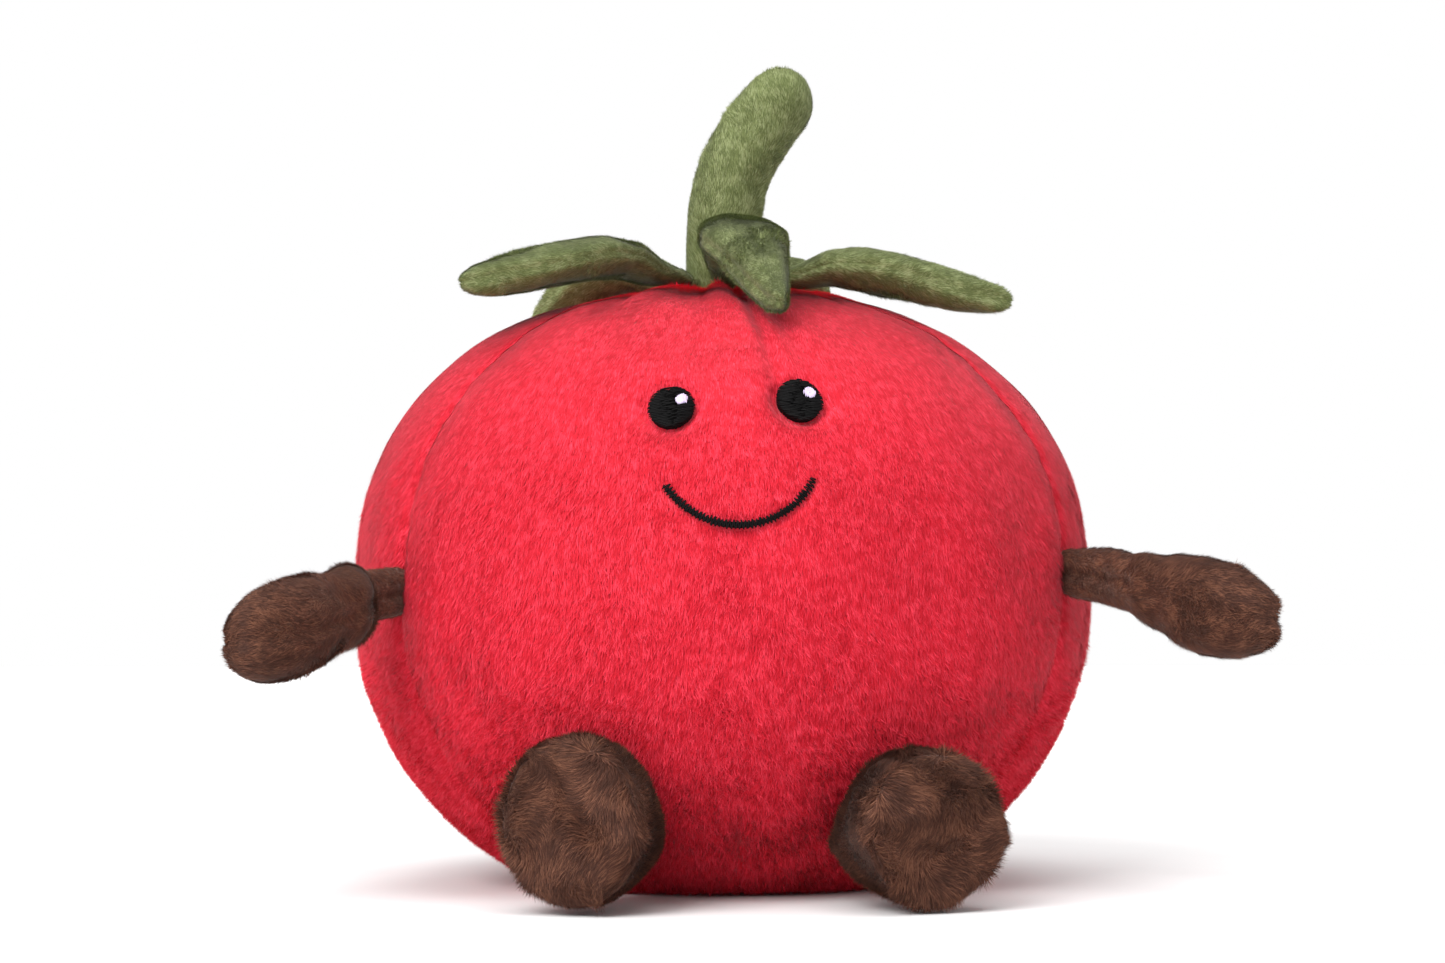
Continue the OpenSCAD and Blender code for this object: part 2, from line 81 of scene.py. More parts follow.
def smooth(low, high, x):
    """0 below low, 1 above high and smooth between; works on numbers and arrays."""
    t = np.clip((x - low) / (high - low), 0, 1)
    return t * t * (3 - 2 * t)


def linear(code):
    """An sRGB hex code as linear red, green, blue and alpha."""
    parts = [int(code[i:i + 2], 16) / 255 for i in (0, 2, 4)]
    return [p / 12.92 if p <= 0.04045 else ((p + 0.055) / 1.055) ** 2.4 for p in parts] + [1.0]


def add(tree, kind, inputs=None, **settings):
    """Adds a node. inputs maps a socket's name or number to a value or to a socket to link."""
    made = tree.nodes.new(kind)
    for name, value in settings.items():
        setattr(made, name, value)
    for name, value in (inputs or {}).items():
        socket = made.inputs[name]
        if isinstance(value, bpy.types.NodeSocket):
            tree.links.new(value, socket)
        else:
            socket.default_value = value
    return made


def named(tree, name, kind):
    """The value of a named attribute, as a socket."""
    return add(tree, "GeometryNodeInputNamedAttribute", {"Name": name},
               data_type=kind).outputs["Attribute"]


def new_object(name, mesh):
    made = bpy.data.objects.new(name, mesh)
    scene.collection.objects.link(made)
    return made


def new_mesh(name, points, faces):
    mesh = bpy.data.meshes.new(name)
    mesh.from_pydata([tuple(p) for p in points], [], faces)
    mesh.validate()
    mesh.shade_smooth()
    return mesh


def coords(mesh):
    got = np.empty(len(mesh.vertices) * 3, np.float32)
    mesh.vertices.foreach_get("co", got)
    return got.reshape(-1, 3).astype(float)


def set_coords(mesh, points):
    mesh.vertices.foreach_set("co", np.asarray(points, np.float32).ravel())
    mesh.update()


def normals(mesh):
    got = np.empty(len(mesh.vertices) * 3, np.float32)
    mesh.vertex_normals.foreach_get("vector", got)
    return got.reshape(-1, 3).astype(float)


def write_attribute(mesh, name, kind, values):
    mesh.attributes.new(name, kind, "POINT")
    mesh.attributes[name].data.foreach_set(
        "vector" if kind == "FLOAT_VECTOR" else "value", np.asarray(values).ravel())


def drop_attributes(mesh, *names):
    for name in names:
        if mesh.attributes.get(name):
            mesh.attributes.remove(mesh.attributes[name])


def field_noise(points, size, seed):
    """Smooth noise from -1 to 1 at each point, for lumps about size metres across."""
    shift = Vector((seed, -seed, 2 * seed))
    return np.array([noise.noise(Vector(p) / size + shift) for p in points]) * 1.6


def finished_mesh(obj):
    """The object's mesh with its modifiers applied."""
    ready = obj.evaluated_get(bpy.context.evaluated_depsgraph_get())
    return bpy.data.meshes.new_from_object(ready)


def apply_modifiers(obj):
    old = obj.data
    obj.data = finished_mesh(obj)
    obj.modifiers.clear()
    bpy.data.meshes.remove(old)


def voxel_skin(obj, voxel):
    """Wraps an object's loose shells in one closed skin with evened faces."""
    skin = obj.modifiers.new("skin", "REMESH")
    skin.mode, skin.voxel_size, skin.use_smooth_shade = "VOXEL", voxel, True
    even = obj.modifiers.new("even", "SMOOTH")
    even.factor, even.iterations = 0.5, 3
    apply_modifiers(obj)


# ---- Camera ---------------------------------------------------------------------------------

def make_camera():
    """A long portrait lens low in front, a little to one side."""
    turn, away, height, lift = math.radians(-4.2), 0.75, 0.0624, math.radians(2.77)
    data = bpy.data.cameras.new("camera")
    data.lens, data.sensor_width = 75.1, 36
    camera = new_object("camera", data)
    camera.location = (away * math.sin(turn), -away * math.cos(turn), height)
    camera.rotation_euler = (math.pi / 2 + lift, 0, turn)
    scene.camera = camera


make_camera()

# ---- Cloth: skins taken from the frame, then stuffed ----------------------------------------

FRAMES = 20    # frames that each cloth simulation runs for


def cad_shells(names):
    """The corners and the triangles of several CAD nodes."""
    points, faces = [], []
    for name in names:
        mesh, start = frame["nodes"][name].data, len(points)
        points += [v.co.copy() for v in mesh.vertices]
        faces += [[start + i for i in p.vertices] for p in mesh.polygons]
    return points, faces


def cad_surface(names):
    """One triangle surface of several CAD nodes, to cast rays at."""
    return BVHTree.FromPolygons(*cad_shells(names))


def stuff(objects, pins, pressure, most):
    """Blows the cloth of each object up like a filled skin, by at most `most` metres.
    pins is a function of the points that says how firmly the seams hold them."""
    before = {o.name: coords(o.data) for o in objects}
    for o in objects:
        held = o.vertex_groups.new(name="held")
        for i, weight in enumerate(pins(o, before[o.name])):
            if weight > 0.001:
                held.add([i], float(weight), "REPLACE")
        cloth = o.modifiers.new("stuffing", "CLOTH")
        cloth.settings.vertex_group_mass = "held"
        cloth.settings.quality = 6
        cloth.settings.mass = 0.02
        cloth.settings.tension_stiffness = cloth.settings.compression_stiffness = 5
        cloth.settings.shear_stiffness = 3
        cloth.settings.bending_stiffness = 0.3
        cloth.settings.use_pressure = True
        cloth.settings.uniform_pressure_force = pressure
        cloth.settings.effector_weights.gravity = 0
        cloth.collision_settings.use_collision = False
        cloth.point_cache.frame_start, cloth.point_cache.frame_end = 1, FRAMES
    for f in range(1, FRAMES + 1):
        scene.frame_set(f)
        bpy.context.view_layer.update()
    for o in objects:
        apply_modifiers(o)
        o.vertex_groups.clear()
        start, now = before[o.name], coords(o.data)
        step = now - start
        far = np.linalg.norm(step, axis=1, keepdims=True)
        set_coords(o.data, start + step * np.minimum(1, most / np.maximum(far, 1e-9)))
    scene.frame_set(1)


# ---- Body skin ------------------------------------------------------------------------------

PER_GORE = 24                     # faces across a gore
AROUND = PER_GORE * len(GORES)    # faces round the belt
RINGS = 96                        # faces from the top to the bottom
CROWDING = 0.6                    # how much closer together the faces are beside the seams
BESIDE = 0.02                     # a step to one side of a seam, as a part of a gore's width
OUTSIDE = 0.3                     # metres from the middle at which the inward rays start
PILE = 2.4 * MM                   # length of the body's pile


def seam_distance(points):
    """Distance along the surface from each point to the nearest of the six seams."""
    x, y = points[:, 0], points[:, 1]
    off = (np.degrees(np.arctan2(x, -y)) + 30) % 60 - 30
    return np.hypot(x, y) * np.radians(np.abs(off))


def way_at(polar, turn):
    """The direction at an angle from straight up, turned round the toy by a number of gores."""
    around = 2 * math.pi * turn / len(GORES)
    return Vector((math.sin(polar) * math.sin(around),
                   -math.sin(polar) * math.cos(around), math.cos(polar)))


def body_start():
    """A skin of meridians and rings just inside the CAD gores, so its columns follow the seams."""
    tree = cad_surface(GORE_NODES + ["base_panel", "body_filling"])
    points, faces = [], []
    for i in range(RINGS + 1):
        polar = math.pi * i / RINGS
        for j in range(AROUND):
            turn = j / AROUND * len(GORES)
            turn -= CROWDING * math.sin(2 * math.pi * turn) / (2 * math.pi)
            # on a seam the ray can slip between two gores, so it is also cast to both sides of it
            turns = [turn - BESIDE, turn, turn + BESIDE] if j % PER_GORE == 0 else [turn]
            rays = [way_at(polar, t) for t in turns]
            reach = max(OUTSIDE - tree.ray_cast(HEART + ray * OUTSIDE, -ray)[3] for ray in rays)
            points.append(HEART + way_at(polar, turn) * reach)
            if i in (0, RINGS):
                break
    last = len(points) - 1

    def ring(i, j):
        return 1 + (i - 1) * AROUND + j % AROUND

    for j in range(AROUND):
        faces.append((0, ring(1, j), ring(1, j + 1)))
        faces.append((last, ring(RINGS - 1, j + 1), ring(RINGS - 1, j)))
        for i in range(1, RINGS - 1):
            faces.append((ring(i, j), ring(i + 1, j), ring(i + 1, j + 1), ring(i, j + 1)))
    mesh = new_mesh("body_cloth", points, faces)
    body = new_object("body_cloth", mesh)
    tops = coords(mesh)
    # The gathered middle of the top, where rays fall through to the filling
    middle = (np.hypot(tops[:, 0], tops[:, 1]) < 3 * MM) & (tops[:, 2] > BODY_R)
    tops[middle, 2] = tops[middle, 2].max()
    set_coords(mesh, tops)
    set_coords(mesh, tops - normals(mesh) * PILE * 0.7)
    return body


def body_pins(_, points):
    seam = 1 - smooth(0.5 * MM, 4 * MM, seam_distance(points))
    base = 1 - smooth(3 * MM, 9 * MM, points[:, 2])
    top = 1 - smooth(10 * MM, 20 * MM, np.hypot(points[:, 0], points[:, 1]))
    return np.maximum.reduce([seam, base, top])


def body_shape(points, out):
    """Seam valleys, puckers, gathers near the stem and the uneven lie of the filling."""
    apart = seam_distance(points)
    radius = np.hypot(points[:, 0], points[:, 1])
    height = points[:, 2]
    lumps = field_noise(points, 45 * MM, 3.1) * 0.9 + field_noise(points, 17 * MM, 7.7) * 0.3
    free = smooth(2 * MM, 14 * MM, height)   # the resting face stays flat
    valley = -0.9 * np.exp(-(apart / (1.3 * MM)) ** 2) - 0.9 * np.exp(-(apart / (7 * MM)) ** 2)
    # the pile hides most of the front seam; it shows again low down
    ahead = np.exp(-(points[:, 0] / (12 * MM)) ** 2) * (points[:, 1] < 0)
    valley *= 1 - 0.93 * ahead * smooth(14 * MM, 30 * MM, height)
    ripple = field_noise(points * [0.2, 0.2, 1.0], 3.6 * MM, 1.3)
    pucker = 0.3 * ripple * np.exp(-(apart / (6 * MM)) ** 2)
    angle = np.arctan2(points[:, 0], -points[:, 1])
    fold = field_noise(np.stack([np.cos(angle), np.sin(angle), radius * 5], axis=1), 0.17, 5.2)
    near_top = smooth(112 * MM, 130 * MM, height) * smooth(14 * MM, 26 * MM, radius)
    gathers = near_top * -1.2 * np.clip(fold, 0, 0.8)
    # the front seam is a soft ridge between and above the eyes, with a crease on each side,
    # and the dense stitching of the eyes draws the cloth in round them
    front = (points[:, 1] < 0) * smooth(97 * MM, 112 * MM, height) * smooth(14 * MM, 26 * MM, radius)
    x = points[:, 0] + (height - 110 * MM) * 0.08
    ridge = 1.0 * np.exp(-(x / (4.5 * MM)) ** 2)
    for off, deep, wide in ((-9, 0.9, 2.2), (7.5, 1.0, 2.0), (15, 0.7, 2.4), (-17, 0.6, 2.6)):
        fan = off * MM * np.clip(radius / (70 * MM), 0.3, 1)
        ridge -= deep * np.exp(-((x - fan) / (wide * MM)) ** 2) * smooth(110 * MM, 122 * MM, height)
    gathers += ridge * front
    for eye in EYES:
        away = np.linalg.norm(points - np.array(eye), axis=1)
        gathers -= 1.3 * np.exp(-((away - 5.5 * MM) / (2.4 * MM)) ** 2)
    total = (lumps + valley * smooth(10 * MM, 26 * MM, radius) + pucker + gathers) * free
    return points + out * (total[:, None] * MM)


def subdivide(obj):
    step = obj.modifiers.new("finer", "SUBSURF")
    step.levels = step.render_levels = 1
    apply_modifiers(obj)


# ---- Limbs ----------------------------------------------------------------------------------

ARMS, LEGS = ["left_arm", "right_arm"], ["left_leg", "right_leg"]
LIMBS = {a: [a + "_upper", a + "_lower"] for a in ARMS}
LIMBS.update({s + "_leg": [s + "_foot_outer", s + "_foot_inner", s + "_foot_sole"]
              for s in ("left", "right")})
LIMBS.update({n: [n + "_top", n + "_under"] for n in LEAVES})
LIMBS["stem"] = ["stem_front", "stem_back"]
# Sizes of each kind of limb in millimetres: how far its cloth lies inside the CAD surface, how deep
# its root is sunk in the torso and over what length, and its pile's length and clumps. lift is how
# far the pile stands up for each unit that it leans.
SIZES = {
    "arm": {"inset": 0.9, "sunk": 7, "over": 6, "pile": 2.2, "clump": 3, "lift": 0.35},
    "leg": {"inset": 1.4, "sunk": 7, "over": 6, "pile": 3.0, "clump": 5, "lift": 0.5},
    "leaf": {"inset": 0.9, "sunk": 4, "over": 7, "pile": 1.6, "clump": 3, "lift": 0.35},
    "stem": {"inset": 0.2, "sunk": 5, "over": 4, "pile": 1.6, "clump": 3, "lift": 0.35},
}


def sizes_of(body):
    return SIZES[body.split("_")[-1]]


def filling_of(body):
    return body.replace("leg", "foot") + "_filling"


def way_out(body):
    """The direction in which a limb leaves the torso."""
    at = hinge(body)
    if body == "stem":
        return Vector((0, 0, 1))
    low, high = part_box(LIMBS[body][0])
    middle = (Vector(low) + Vector(high)) / 2
    if body in LEAVES or body in ARMS:
        return Vector((at.x, at.y, 0)).normalized()
    return (middle - at).normalized()


def limb_start(body, voxel, inset):
    """One closed skin round a limb's CAD nodes, set in from them by inset."""
    shells = cad_shells(LIMBS[body] + [filling_of(body)])
    limb = new_object(body + "_cloth", new_mesh(body + "_cloth", *shells))
    voxel_skin(limb, voxel)
    mesh = limb.data
    mesh.shade_smooth()
    set_coords(mesh, coords(mesh) - normals(mesh) * inset)
    return limb


def seam_nearness(body, points, width):
    """1 on the line where two of a limb's cloth panels meet, falling to 0 away from it."""
    trees = [cad_surface([n]) for n in LIMBS[body]]
    far = np.array([[tree.find_nearest(Vector(p))[3] for tree in trees] for p in points])
    far.sort(axis=1)
    return np.exp(-((far[:, 1] - far[:, 0]) / width) ** 2)


def limb_pins(obj, points):
    body = obj.name.replace("_cloth", "")
    at, out = np.array(hinge(body)), np.array(way_out(body))
    root = 1 - smooth(2 * MM, 7 * MM, (points - at) @ out)
    return np.maximum(root, 0.6 * seam_nearness(body, points, 1.2 * MM))


def sink_root(body, points, deep, over):
    """Carries the root of a limb into the torso, so that it joins the body with no gap."""
    at, out = np.array(hinge(body)), np.array(way_out(body))
    near = 1 - smooth(-1 * MM, over, (points - at) @ out)
    return points - out * (near * deep)[:, None]


def limb_finish(body, limb):
    """Seam grooves, small creases, roots sunk in the torso, and the lie of the pile."""
    subdivide(limb)
    mesh = limb.data
    points, out = coords(mesh), normals(mesh)
    at, along = np.array(hinge(body)), np.array(way_out(body))
    reach = (points - at) @ along
    seam = seam_nearness(body, points, 1.1 * MM)
    crease = field_noise(points, 5 * MM, 2.2) * 0.12 + field_noise(points, 12 * MM, 6.1) * 0.3
    press = crease - 0.75 * seam
    pile = 1 - 0.15 * seam
    if body in ARMS:
        wrist = (0.14 if body == "left_arm" else 0.28) * reach.max()
        rim = 0.5 if body == "left_arm" else 0.4
        if body == "left_arm":
            # this hand is gathered into a thick cuff
            press += (1.8 * smooth(wrist - 1 * MM, wrist + 6 * MM, reach)
                      * (1 - smooth(wrist + 5 * MM, wrist + 14 * MM, reach)))
        press += rim * np.exp(-((reach - wrist - 3 * MM) / (3 * MM)) ** 2)
        press -= rim * np.exp(-((reach - wrist + 1.5 * MM) / (2 * MM)) ** 2)
        pile *= 0.75 + 0.25 * smooth(wrist - 1.5 * MM, wrist + 1 * MM, reach)
    if body in LEAVES:
        aside = np.cross(points - at, along)[:, 2]
        vein = np.exp(-(aside / (3 * MM)) ** 2)
        press -= 0.4 * vein * smooth(6 * MM, 16 * MM, reach)
        # the cloth is cut to a point, which curls down
        tip = smooth(0.45, 1, reach / reach.max())
        across = np.cross(along, [0, 0, 1])
        points = points - across * (aside * 0.4 * tip)[:, None]
        points[:, 2] -= (3.5 if body == "front_leaf" else 1) * MM * tip
        if body == "front_leaf":
            points[:, 0] += 5 * MM * tip
            points = points - across * (aside * 0.15)[:, None]
    points = points + out * (press * MM)[:, None]
    if body == "right_leg":
        # this foot lies over more, so it is lower and wider than the other
        spread, low = smooth(8 * MM, 24 * MM, reach), points[:, 2].min()
        middle = np.cross([0, 0, 1], along)
        aside = (points - points.mean(axis=0)) @ middle
        points = points + middle * (0.06 * spread * aside)[:, None]
        points[:, 2] -= 0.09 * spread * (points[:, 2] - low)
    sizes = sizes_of(body)
    set_coords(mesh, sink_root(body, points, sizes["sunk"] * MM, sizes["over"] * MM))
    if body in LEGS:
        # the long pile of the sole is brushed round in swirls
        swirl = np.stack([field_noise(points, 11 * MM, k) for k in (1.7, 4.1, 9.3)], axis=1)
        sole = cad_surface([body.replace("leg", "foot_sole")])
        on_sole = np.array([sole.find_nearest(Vector(p))[3] for p in points]) < 2.2 * MM
        nap = np.where(on_sole[:, None], swirl * 1.6 + [0, 0, -0.5], along * 0.9 + swirl * 0.5)
        pile = pile * np.where(on_sole, 1.15, 0.9)
    else:
        stray = np.stack([field_noise(points, 9 * MM, k) for k in (1.7, 4.1, 9.3)], axis=1)
        nap = along + stray * 0.5
    write_attribute(mesh, "pile", "FLOAT", pile)
    write_attribute(mesh, "nap", "FLOAT_VECTOR", nap)
    write_attribute(mesh, "patch", "INT", np.zeros(len(points), int))


# ---- Pile -----------------------------------------------------------------------------------

def pile_tree():
    """Short tapered hairs over a skin: scattered, leaning with the nap, in clumps."""
    tree = bpy.data.node_groups.new("pile", "GeometryNodeTree")
    inputs = [("Skin", "Geometry", None), ("Patch", "Int", 0), ("Per square metre", "Float", 1e7),
              ("Length", "Float", 0.0025), ("Width", "Float", 0.0003), ("Lift", "Float", 1.2),
              ("Clump size", "Float", 0.004), ("Clump strength", "Float", 0.6), ("Seed", "Int", 1),
              ("Cleared by", "Object", None)]
    inputs += [(f"Shade {k}", "Material", None) for k in range(4)]
    for name, kind, value in inputs:
        made = tree.interface.new_socket(name, in_out="INPUT", socket_type="NodeSocket" + kind)
        if value is not None:
            made.default_value = value
    tree.interface.new_socket("Hairs", in_out="OUTPUT", socket_type="NodeSocketGeometry")
    given = add(tree, "NodeGroupInput").outputs

    def calc(operation, *values):
        return add(tree, "ShaderNodeMath", dict(enumerate(values)), operation=operation).outputs[0]

    def mix(operation, *values):
        made = add(tree, "ShaderNodeVectorMath", dict(enumerate(values)), operation=operation)
        return made.outputs[0]

    def scaled(vector, factor):
        made = add(tree, "ShaderNodeVectorMath", {0: vector, "Scale": factor}, operation="SCALE")
        return made.outputs[0]

    patch = add(tree, "FunctionNodeCompare", {2: named(tree, "patch", "INT"), 3: given["Patch"]},
                data_type="INT", operation="EQUAL").outputs[0]
    thick = calc("MULTIPLY", named(tree, "pile", "FLOAT"), given["Per square metre"])
    roots = add(tree, "GeometryNodeDistributePointsOnFaces",
                {"Mesh": given["Skin"], "Selection": patch, "Density": thick,
                 "Seed": given["Seed"]})
    # no hair grows through the embroidery, and with none given every hair stays
    thread = add(tree, "GeometryNodeObjectInfo", {0: given["Cleared by"]}).outputs["Geometry"]
    gap = add(tree, "GeometryNodeProximity", {0: thread}, target_element="FACES")
    under = add(tree, "FunctionNodeCompare", {0: gap.outputs["Distance"], 1: 0.0005},
                data_type="FLOAT", operation="LESS_THAN").outputs[0]
    count = add(tree, "GeometryNodeAttributeDomainSize", {0: thread}).outputs["Face Count"]
    found = calc("GREATER_THAN", count, 0)
    roots_kept = add(tree, "GeometryNodeDeleteGeometry",
                     {0: roots.outputs["Points"], 1: calc("MULTIPLY", under, found)},
                     domain="POINT").outputs[0]

    out = roots.outputs["Normal"]
    place = add(tree, "GeometryNodeInputPosition").outputs[0]
    size = calc("DIVIDE", 1.0, given["Clump size"])
    clump = add(tree, "ShaderNodeTexNoise", {"Vector": place, "Scale": size, "Detail": 2.0})
    swing = mix("SUBTRACT", clump.outputs["Color"], (0.5, 0.5, 0.5))
    loose = add(tree, "FunctionNodeRandomValue", {0: (-0.35, -0.35, -0.35), 1: (0.35, 0.35, 0.35)},
                data_type="FLOAT_VECTOR").outputs[0]
    clumped = scaled(swing, calc("MULTIPLY", given["Clump strength"], 4.0))
    lean = mix("ADD", mix("ADD", named(tree, "nap", "FLOAT_VECTOR"), clumped), loose)
    # the lean runs along the cloth, never through it
    through = add(tree, "ShaderNodeVectorMath", {0: lean, 1: out}, operation="DOT_PRODUCT")
    flat = mix("SUBTRACT", lean, scaled(out, through.outputs["Value"]))
    way = mix("NORMALIZE", mix("ADD", flat, scaled(out, given["Lift"])))
    side = mix("NORMALIZE", mix("CROSS_PRODUCT", out, way))
    turn = add(tree, "FunctionNodeAxesToRotation", {0: way, 1: side},
               primary_axis="X", secondary_axis="Y").outputs[0]
    some = add(tree, "FunctionNodeRandomValue", {2: 0.7, 3: 1.2, "Seed": 3}, data_type="FLOAT")
    longer = calc("MULTIPLY", some.outputs[1], named(tree, "pile", "FLOAT"))
    length = calc("MULTIPLY", longer, given["Length"])
    # a hair is a circle of three corners: the tip at one radius, the root's two at minus half
    scale = add(tree, "ShaderNodeCombineXYZ",
                {0: calc("DIVIDE", length, 1.5), 1: calc("DIVIDE", given["Width"], 1.732),
                 2: 1.0}).outputs[0]
    hair = add(tree, "GeometryNodeMeshCircle", {"Vertices": 3, "Radius": 1.0}, fill_type="NGON")
    ready = add(tree, "GeometryNodeSetPosition",
                {0: roots_kept, "Offset": scaled(way, calc("MULTIPLY", length, 0.25))}).outputs[0]
    pick = add(tree, "FunctionNodeRandomValue", {2: 0.0, 3: 0.55, "Seed": 7}, data_type="FLOAT")
    shade = calc("ADD", pick.outputs[1], calc("MULTIPLY", clump.outputs[0], 0.9))
    marked = add(tree, "GeometryNodeStoreNamedAttribute",
                 {0: ready, "Name": "shade", "Value": shade}, data_type="FLOAT",
                 domain="POINT").outputs[0]
    placed = add(tree, "GeometryNodeInstanceOnPoints",
                 {"Points": marked, "Instance": hair.outputs["Mesh"], "Rotation": turn,
                  "Scale": scale}).outputs[0]
    hairs = add(tree, "GeometryNodeRealizeInstances", {0: placed}).outputs[0]
    tone = named(tree, "shade", "FLOAT")
    hairs = add(tree, "GeometryNodeSetMaterial", {0: hairs, "Material": given["Shade 0"]}).outputs[0]
    for k, least in ((1, 0.62), (2, 0.76), (3, 0.9)):
        pale = add(tree, "FunctionNodeCompare", {0: tone, 1: least}, data_type="FLOAT",
                   operation="GREATER_THAN").outputs[0]
        hairs = add(tree, "GeometryNodeSetMaterial",
                    {0: hairs, 1: pale, "Material": given[f"Shade {k}"]}).outputs[0]
    last = add(tree, "NodeGroupOutput")
    tree.links.new(hairs, last.inputs[0])
    return tree


def grow(skin, name, shades, **sizes):
    """A plain mesh of pile grown on a skin. sizes are the tree's inputs, with _ for spaces."""
    growing = new_object(name, skin.data)
    pile = growing.modifiers.new("pile", "NODES")
    pile.node_group = PILE_TREE
    sizes.update({f"Shade_{k}": m for k, m in enumerate(shades)})
    for socket in PILE_TREE.interface.items_tree:
        value = sizes.get(socket.name.replace(" ", "_"))
        if socket.in_out == "INPUT" and value is not None:
            pile[socket.identifier] = value
    growing.update_tag()
    mesh = finished_mesh(growing)
    growing.modifiers.clear()
    growing.data = mesh
    mesh.name = name
    mesh.materials.pop(index=0)   # the empty slot that came with the bare circle
    drop_attributes(mesh, "shade", "pile", "nap", "patch")
    return growing


PILE_TREE = pile_tree()


# ---- Embroidery -----------------------------------------------------------------------------

def join(name, objects):
    """Joins several objects into the first of them, which gets a new name."""
    with bpy.context.temp_override(active_object=objects[0], selected_editable_objects=objects):
        bpy.ops.object.join()
    objects[0].name = objects[0].data.name = name
    return objects[0]


def thread_shape():
    """One stitch along X, a unit long and wide: round, its ends dipping into the cloth."""
    sides, points, faces = 6, [], []
    profile = [(-0.5, 0.2, -0.7), (-0.42, 0.42, -0.2), (-0.2, 0.5, 0.0), (0.2, 0.5, 0.0),
               (0.42, 0.42, -0.2), (0.5, 0.2, -0.7)]
    for x, r, z in profile:
        for k in range(sides):
            a = 2 * math.pi * k / sides
            points.append((x, r * math.cos(a), z + r * math.sin(a)))
    for i in range(len(profile) - 1):
        for k in range(sides):
            a, b = i * sides + k, i * sides + (k + 1) % sides
            faces.append((a, b, b + sides, a + sides))
    faces.append(tuple(reversed(range(sides))))
    faces.append(tuple(range(len(points) - sides, len(points))))
    shape = new_mesh("thread", points, faces)
    grid = bmesh.new()
    grid.from_mesh(shape)
    bmesh.ops.recalc_face_normals(grid, faces=grid.faces)
    grid.to_mesh(shape)
    grid.free()
    shape.shade_smooth()
    return new_object("thread", shape)


def stitch_tree():
    """One thread on each point, turned by its along and out, as long as its long."""
    tree = bpy.data.node_groups.new("stitches", "GeometryNodeTree")
    for name, kind in (("Points", "Geometry"), ("Thread", "Object"), ("Width", "Float"),
                       ("Material", "Material")):
        tree.interface.new_socket(name, in_out="INPUT", socket_type="NodeSocket" + kind)
    tree.interface.new_socket("Stitches", in_out="OUTPUT", socket_type="NodeSocketGeometry")
    given = add(tree, "NodeGroupInput").outputs

    thread = add(tree, "GeometryNodeObjectInfo", {0: given["Thread"]}).outputs["Geometry"]
    turn = add(tree, "FunctionNodeAxesToRotation",
               {0: named(tree, "along", "FLOAT_VECTOR"), 1: named(tree, "out", "FLOAT_VECTOR")},
               primary_axis="X", secondary_axis="Z").outputs[0]
    scale = add(tree, "ShaderNodeCombineXYZ",
                {0: named(tree, "long", "FLOAT"), 1: given["Width"], 2: given["Width"]}).outputs[0]
    placed = add(tree, "GeometryNodeInstanceOnPoints",
                 {"Points": given["Points"], "Instance": thread, "Rotation": turn,
                  "Scale": scale}).outputs[0]
    real = add(tree, "GeometryNodeRealizeInstances", {0: placed}).outputs[0]
    done = add(tree, "GeometryNodeSetMaterial",
               {0: real, "Material": given["Material"]}).outputs[0]
    last = add(tree, "NodeGroupOutput")
    tree.links.new(done, last.inputs[0])
    return tree


THREAD, STITCH_TREE = thread_shape(), stitch_tree()


def sew(name, stitches, width, material):
    """Stitches as one mesh. Each is its middle, the way it runs, the way out and its length."""
    mesh = bpy.data.meshes.new(name)
    mesh.from_pydata([tuple(s[0]) for s in stitches], [], [])
    for key, k in (("along", 1), ("out", 2)):
        write_attribute(mesh, key, "FLOAT_VECTOR", np.array([tuple(s[k]) for s in stitches]))
    write_attribute(mesh, "long", "FLOAT", np.array([s[3] for s in stitches]))
    sewn = new_object(name, mesh)
    work = sewn.modifiers.new("stitches", "NODES")
    work.node_group = STITCH_TREE
    values = {"Thread": THREAD, "Width": width, "Material": material}
    for socket in STITCH_TREE.interface.items_tree:
        if socket.name in values:
            work[socket.identifier] = values[socket.name]
    sewn.update_tag()
    apply_modifiers(sewn)
    sewn.data.name = name
    drop_attributes(sewn.data, "along", "out", "long")
    while len(sewn.data.materials) > 1:
        sewn.data.materials.pop(index=0)
    return sewn


def outward(point):
    return (Vector(point) - HEART).normalized()


def pad(node, name, material):
    """A soft base under the stitches of a CAD embroidery node, reaching down to the cloth."""
    source = frame["nodes"][node].data
    points, faces = [], []
    for sink in (0.55, 1.3, 2.3):
        start = len(points)
        points += [v.co - outward(v.co) * sink * MM for v in source.vertices]
        faces += [[start + i for i in p.vertices] for p in source.polygons]
    made = new_object(name, new_mesh(name, points, faces))
    voxel_skin(made, 0.35 * MM)
    set_coords(made.data, coords(made.data) - normals(made.data) * 0.3 * MM)
    made.data.materials.clear()
    made.data.materials.append(material)
    return made


def lay(tree, x, z):
    """The point of an embroidery surface in front of x, z, or None."""
    hit, _, _, _ = tree.ray_cast(Vector((x, -0.3, z)), Vector((0, 1, 0)))
    return hit


